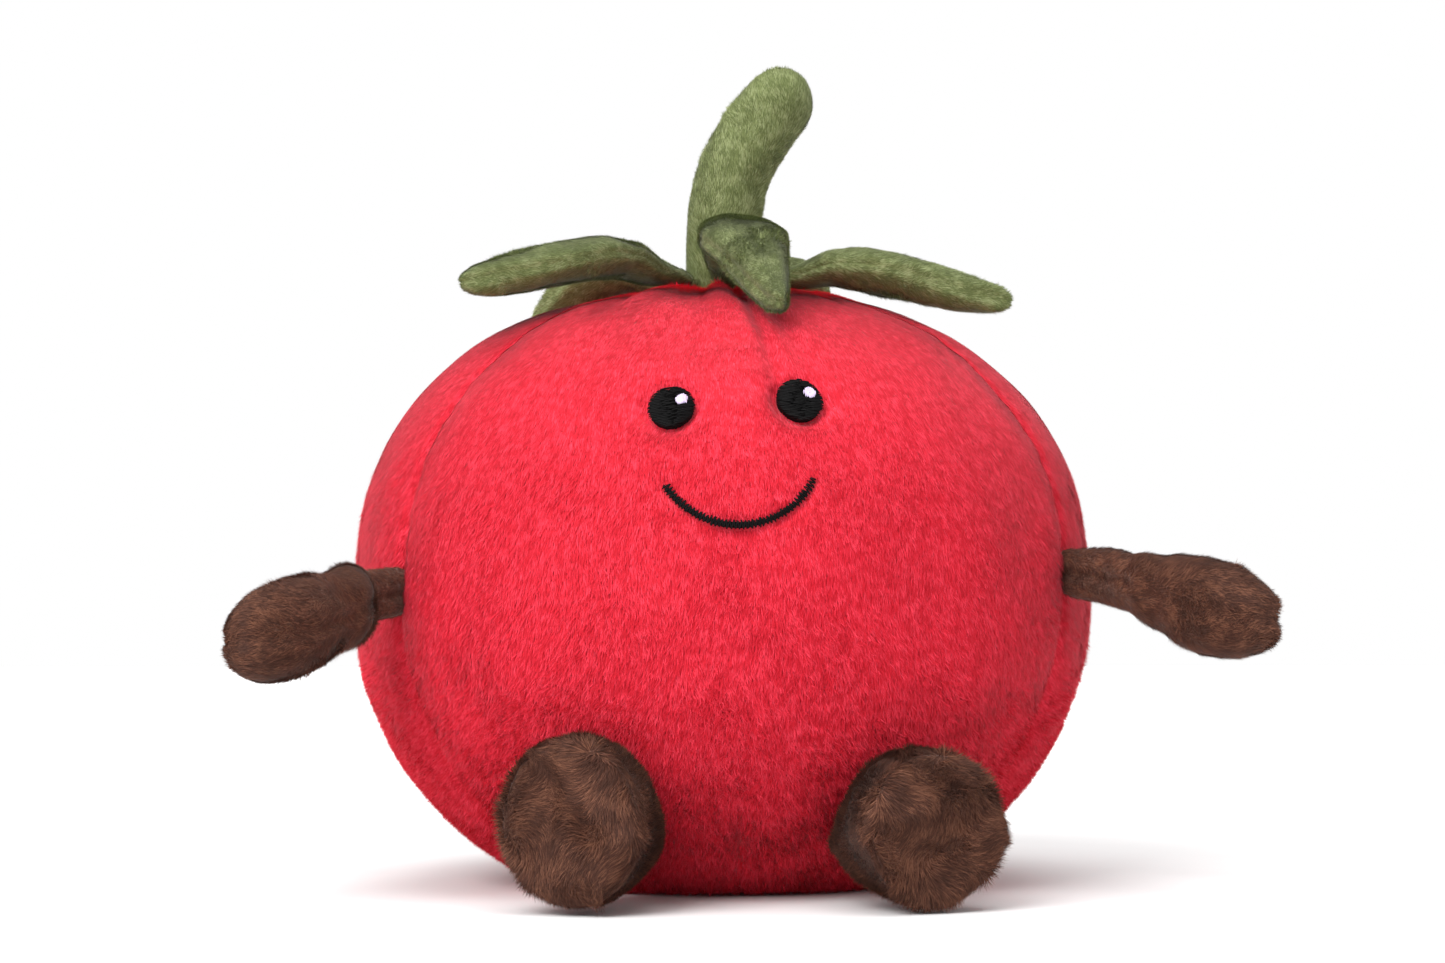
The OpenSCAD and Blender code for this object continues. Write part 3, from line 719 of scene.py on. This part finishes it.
def satin(node, spacing, longest, slant, seed):
    """Rows of thread across a patch, split into stitches no longer than longest."""
    tree = cad_surface([node])
    low, high = (Vector(v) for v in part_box(node))
    middle, reach = (low + high) / 2, (high - low).length / 2
    run = Vector((math.cos(slant), 0, math.sin(slant)))
    cross = Vector((-run.z, 0, run.x))
    rng = np.random.default_rng(seed)
    stitches = []
    rows, tries = int(reach / spacing), 60
    for r in range(-rows, rows + 1):
        line = middle + cross * (r * spacing)
        inside = []
        for k in range(-tries, tries + 1):
            at = line + run * (k / tries * reach)
            hit = lay(tree, at.x, at.z)
            if hit:
                inside.append(hit)
        if len(inside) < 3:
            continue
        length = (inside[-1] - inside[0]).length
        parts = max(1, math.ceil(length / longest + rng.uniform(-0.2, 0.4)))
        cuts = [0] + sorted((k + rng.uniform(-0.25, 0.25)) / parts for k in range(1, parts)) + [1]
        for a, b in zip(cuts, cuts[1:]):
            p = inside[round(a * (len(inside) - 1))]
            q = inside[round(b * (len(inside) - 1))]
            centre = inside[round((a + b) / 2 * (len(inside) - 1))]
            if (q - p).length > 0.4 * MM:
                stray = Vector(rng.normal(0, 0.035, 3))
                stitches.append((centre - outward(centre) * 0.12 * MM,
                                 ((q - p).normalized() + stray).normalized(), outward(centre),
                                 (q - p).length + 0.2 * MM))
    return stitches


def arc_of(node):
    """The circle through the middle of a curved line of embroidery, and its two end angles."""
    points = coords(frame["nodes"][node].data)
    x, z = points[:, 0], points[:, 2]
    table = np.stack([x, z, np.ones_like(x)], axis=1)
    fit, _, _, _ = np.linalg.lstsq(table, x * x + z * z, rcond=None)
    cx, cz = fit[0] / 2, fit[1] / 2
    r = math.sqrt(fit[2] + cx * cx + cz * cz)
    angle = np.arctan2(x - cx, -(z - cz))
    return cx, cz, r, angle.min(), angle.max()


def smile_line(node, count, width, seed):
    """Short stitches across a curved line, each leaning a little one way then the other."""
    tree = cad_surface([node] + GORE_NODES)
    cx, cz, r, start, end = arc_of(node)
    ease = width / 2 / r
    rng = np.random.default_rng(seed)
    stitches = []
    for k in range(count):
        a = start + ease + (end - start - 2 * ease) * k / (count - 1)
        at = lay(tree, cx + r * math.sin(a), cz - r * math.cos(a))
        lean = a + (0.2 if k % 2 else -0.2) + rng.normal(0, 0.07)
        stitches.append((at - outward(at) * 0.1 * MM, Vector((math.sin(lean), 0, -math.cos(lean))),
                         outward(at), width * rng.uniform(0.75, 1.2)))
    return stitches


# ---- Materials ------------------------------------------------------------------------------

def new_material(name):
    made = bpy.data.materials.new(name)
    made.use_nodes = True
    return made, made.node_tree, made.node_tree.nodes["Principled BSDF"]


def hair_shades(name, codes, sheen, tint):
    """Plush pile: dyed polyester hairs, each a plain colour, with a soft sheen."""
    made = []
    for k, code in enumerate(codes):
        material, _, shader = new_material(f"{name}_pile_{k}")
        shader.inputs["Base Color"].default_value = linear(code)
        shader.inputs["Roughness"].default_value = 0.75
        shader.inputs["Specular IOR Level"].default_value = 0.25
        shader.inputs["Sheen Weight"].default_value = sheen
        shader.inputs["Sheen Roughness"].default_value = 0.45
        shader.inputs["Sheen Tint"].default_value = linear(tint)
        made.append(material)
    return made


def backing(name, dark, pale):
    """The knitted cloth under the pile: fine loops, mottled, near the pile's middle tones."""
    material, tree, shader = new_material(name)
    place = add(tree, "ShaderNodeTexCoord").outputs["Object"]
    mottle = add(tree, "ShaderNodeTexNoise", {"Vector": place, "Scale": 1 / (6 * MM),
                                              "Detail": 3.0})
    knit = add(tree, "ShaderNodeTexVoronoi", {"Vector": place, "Scale": 1 / (0.7 * MM)})
    colour = add(tree, "ShaderNodeMix", {0: mottle.outputs[0], 6: linear(dark), 7: linear(pale)},
                 data_type="RGBA")
    tree.links.new(colour.outputs[2], shader.inputs["Base Color"])
    bump = add(tree, "ShaderNodeBump", {"Height": knit.outputs["Distance"], "Distance": 0.0002,
                                        "Strength": 0.6})
    tree.links.new(bump.outputs[0], shader.inputs["Normal"])
    shader.inputs["Roughness"].default_value = 0.9
    shader.inputs["Sheen Weight"].default_value = 0.3
    return material


def thread_material(name, dark, pale, roughness):
    """Rayon embroidery thread: a fine diagonal twist, a little uneven in tone."""
    material, tree, shader = new_material(name)
    place = add(tree, "ShaderNodeTexCoord").outputs["Object"]
    tone = add(tree, "ShaderNodeTexNoise", {"Vector": place, "Scale": 1 / (0.8 * MM)})
    colour = add(tree, "ShaderNodeMix", {0: tone.outputs[0], 6: linear(dark), 7: linear(pale)},
                 data_type="RGBA")
    tree.links.new(colour.outputs[2], shader.inputs["Base Color"])
    twist = add(tree, "ShaderNodeTexWave", {"Vector": place, "Scale": 1 / (1.2 * MM),
                                            "Distortion": 1.5}, bands_direction="DIAGONAL")
    bump = add(tree, "ShaderNodeBump", {"Height": twist.outputs["Fac"], "Distance": 0.00005,
                                        "Strength": 0.5})
    tree.links.new(bump.outputs[0], shader.inputs["Normal"])
    shader.inputs["Roughness"].default_value = roughness
    shader.inputs["Specular IOR Level"].default_value = 0.12
    return material


RED_PILE = hair_shades("red_plush", ("C81026", "D21A30", "DC263C", "E8384E"), 0.28, "F5A0AC")
GREEN_PILE = hair_shades("green_plush", ("596238", "687243", "788252", "8F976A"), 0.25, "D5DAB0")
BROWN_PILE = hair_shades("brown_plush", ("40251B", "4F2F23", "613B2C", "7A4F3B"), 0.4, "C09080")
RED_CLOTH = backing("red_knit_backing", "B01024", "C41A2E")
GREEN_CLOTH = backing("green_knit_backing", "6C7648", "7C8656")
BROWN_CLOTH = backing("brown_knit_backing", "4F2F23", "6B4636")
BLACK_THREAD = thread_material("black_embroidery_thread", "010101", "050405", 0.6)
DARK_PAD = thread_material("dark_embroidery_underlay", "040304", "0B090A", 0.8)
LIGHT_THREAD = thread_material("lilac_white_embroidery_thread", "B9A8CC", "D8CBE2", 0.5)

# ---- Building the toy -----------------------------------------------------------------------

pads = [pad(n, n + "_pad", DARK_PAD) for n in ("left_eye", "right_eye", "smile")]
cleared = join("embroidery_area", [new_object("area", p.data.copy()) for p in pads])

sewn = {
    "left_eye": satin("left_eye", 0.36 * MM, 5 * MM, math.radians(9), 11),
    "right_eye": satin("right_eye", 0.36 * MM, 5 * MM, math.radians(-6), 12),
    "smile": smile_line("smile", 92, 2.0 * MM, 13),
}
for base, (node, stitches) in zip(pads, sewn.items()):
    threads = sew(node + "_threads", stitches, 0.42 * MM, BLACK_THREAD)
    whole = join(node + "_embroidery", [base, threads])
    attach(whole, "torso")
    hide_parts(node)
for side, seed in (("left", 21), ("right", 22)):
    node = side + "_glint"
    stitches = [(at + way_up * 0.25 * MM, run, way_up, long) for at, run, way_up, long
                in satin(node, 0.3 * MM, 3 * MM, math.radians(90), seed)]
    glint = sew(node + "_threads", stitches, 0.42 * MM, LIGHT_THREAD)
    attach(glint, "torso")
    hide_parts(node)

body = body_start()
stuff([body], body_pins, 40, 2.2 * MM)
subdivide(body)
set_coords(body.data, body_shape(coords(body.data), normals(body.data)))
at = coords(body.data)
turn = np.degrees(np.arctan2(at[:, 0], -at[:, 1])) % 360
down = np.stack([at[:, 0] * 1.2, at[:, 1] * 1.2, np.full(len(at), -BODY_R)], axis=1) / BODY_R
stray = np.stack([field_noise(at, 14 * MM, k) for k in (1.1, 5.3, 8.9)], axis=1)
# near the top the pile lies flatter, brushed down from the stem
flat = 1 + 2 * smooth(95 * MM, 130 * MM, at[:, 2])
write_attribute(body.data, "nap", "FLOAT_VECTOR", (down + stray * 0.25) * flat[:, None])
write_attribute(body.data, "pile", "FLOAT",
                1 - 0.15 * np.exp(-(seam_distance(at) / (1.5 * MM)) ** 2))
write_attribute(body.data, "patch", "INT", (turn // 60).astype(int))
body.name = body.data.name = "body_skin"
body.data.materials.append(RED_CLOTH)
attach(body, "torso")
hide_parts(*GORE_NODES, "base_panel", *INSIDE_NODES)
for k, gore in enumerate(GORES):
    pile = grow(body, gore + "_pile", RED_PILE, Patch=k, Seed=k, Cleared_by=cleared,
                Per_square_metre=1.25e7, Length=PILE, Width=0.3 * MM, Lift=0.4,
                Clump_size=2.2 * MM, Clump_strength=0.3)
    pile.parent = body
drop_attributes(body.data, "nap", "pile", "patch")

limbs = {n: limb_start(n, 1.6 * MM, sizes_of(n)["inset"] * MM) for n in LIMBS}
stuff(list(limbs.values()), limb_pins, 20, 0.8 * MM)
for n, limb in limbs.items():
    limb_finish(n, limb)
    cloth, shades, slot_name = ((BROWN_CLOTH, BROWN_PILE, "brown_plush") if n in ARMS + LEGS
                                else (GREEN_CLOTH, GREEN_PILE, "green_plush"))
    sizes = sizes_of(n)
    pile = grow(limb, n + "_pile", shades, Seed=len(n), Per_square_metre=1.6e7,
                Length=sizes["pile"] * MM, Width=0.26 * MM, Lift=sizes["lift"],
                Clump_size=sizes["clump"] * MM, Clump_strength=0.3)
    drop_attributes(limb.data, "nap", "pile", "patch")
    limb.data.materials.clear()
    limb.data.materials.append(cloth)
    whole = join(n + "_plush", [limb, pile])
    at, along = hinge(n), way_out(n)
    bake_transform(whole)
    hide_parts(*LIMBS[n], filling_of(n))

for tool in (THREAD, cleared):
    bpy.data.objects.remove(tool)

# ---- Floor, light and background ------------------------------------------------------------

def make_stage():
    """A white table under a big soft light, glowing with painted light far from the toy, with the
    white of the room all round.
    """
    wide = 4.0
    floor = new_object("floor", new_mesh("floor", [(-wide, -wide, 0), (wide, -wide, 0),
                                                   (wide, wide, 0), (-wide, wide, 0)],
                                         [(0, 1, 2, 3)]))
    material, tree, shader = new_material("white_table")
    place = add(tree, "ShaderNodeTexCoord").outputs["Object"]
    grain = add(tree, "ShaderNodeTexNoise", {"Vector": place, "Scale": 1 / (40 * MM)})
    colour = add(tree, "ShaderNodeMix",
                 {0: grain.outputs[0], 6: linear("F4F3F3"), 7: linear("FAFAFA")},
                 data_type="RGBA")
    tree.links.new(colour.outputs[2], shader.inputs["Base Color"])
    # far from the toy the table glows with painted light, an emission that turns it plain white like
    # a studio sweep
    far = add(tree, "ShaderNodeVectorMath", {0: place}, operation="LENGTH").outputs["Value"]
    glow = add(tree, "ShaderNodeMapRange", {0: far, 1: 0.16, 2: 0.8, 3: 0.0, 4: 1.0})
    shader.inputs["Emission Color"].default_value = (1, 1, 1, 1)
    tree.links.new(glow.outputs[0], shader.inputs["Emission Strength"])
    shader.inputs["Roughness"].default_value = 0.6
    floor.data.materials.append(material)

    def softbox(name, place, aim, size, power):
        data = bpy.data.lights.new(name, "AREA")
        data.shape, data.size, data.size_y, data.energy = "RECTANGLE", size, size, power
        lamp = new_object(name, data)
        lamp.location = place
        lamp.rotation_euler = (Vector(aim) - Vector(place)).to_track_quat("-Z", "Y").to_euler()

    softbox("key_softbox", (-0.75, -1.0, 0.95), (0, 0, 0.09), 0.9, 22)
    softbox("top_softbox", (0.0, -0.3, 1.3), (0, 0, 0.09), 1.0, 9)

    world = bpy.data.worlds.new("white_room")
    scene.world = world
    world.use_nodes = True
    tree = world.node_tree
    back = tree.nodes["Background"]
    ray = add(tree, "ShaderNodeLightPath").outputs["Is Camera Ray"]
    strength = add(tree, "ShaderNodeMix", {0: ray, 2: 0.7, 3: 1.0})
    tree.links.new(strength.outputs[0], back.inputs["Strength"])
    back.inputs["Color"].default_value = (1, 1, 1, 1)


make_stage()
scene.view_settings.view_transform = "Standard"
